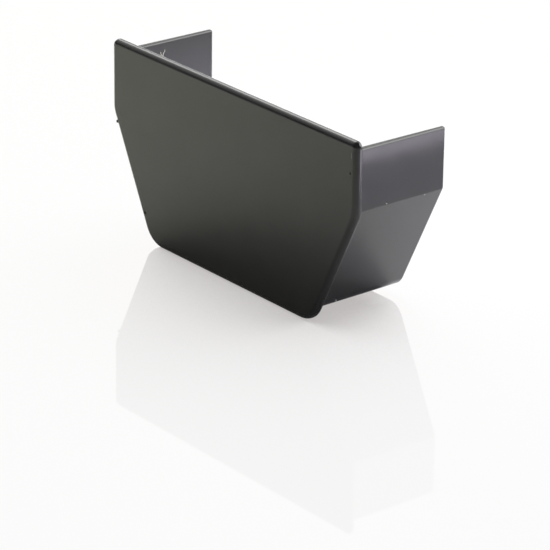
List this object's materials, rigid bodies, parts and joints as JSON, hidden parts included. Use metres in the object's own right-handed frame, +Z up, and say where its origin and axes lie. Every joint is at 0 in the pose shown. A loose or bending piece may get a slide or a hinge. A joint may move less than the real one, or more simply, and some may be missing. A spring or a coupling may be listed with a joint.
{
  "type": "gutter end cap",
  "caption": "Moulded end cap for a trapezoidal gutter: flat closing plate with a rounded rim, and a trough-shaped skirt behind it that slides into the gutter's end.",
  "frame": {"origin": "under the middle of the cap, on the surface that the plate's foot stands on", "axes": "+X across the gutter, +Y from the plate's front face towards the skirt's open end, +Z up"},
  "size_m": [0.125, 0.038, 0.0655],
  "materials": {
    "black_plastic": "satin moulded black plastic"
  },
  "bodies": {
    "root": {"end_cap": "black_plastic"}
  },
  "joints": []
}
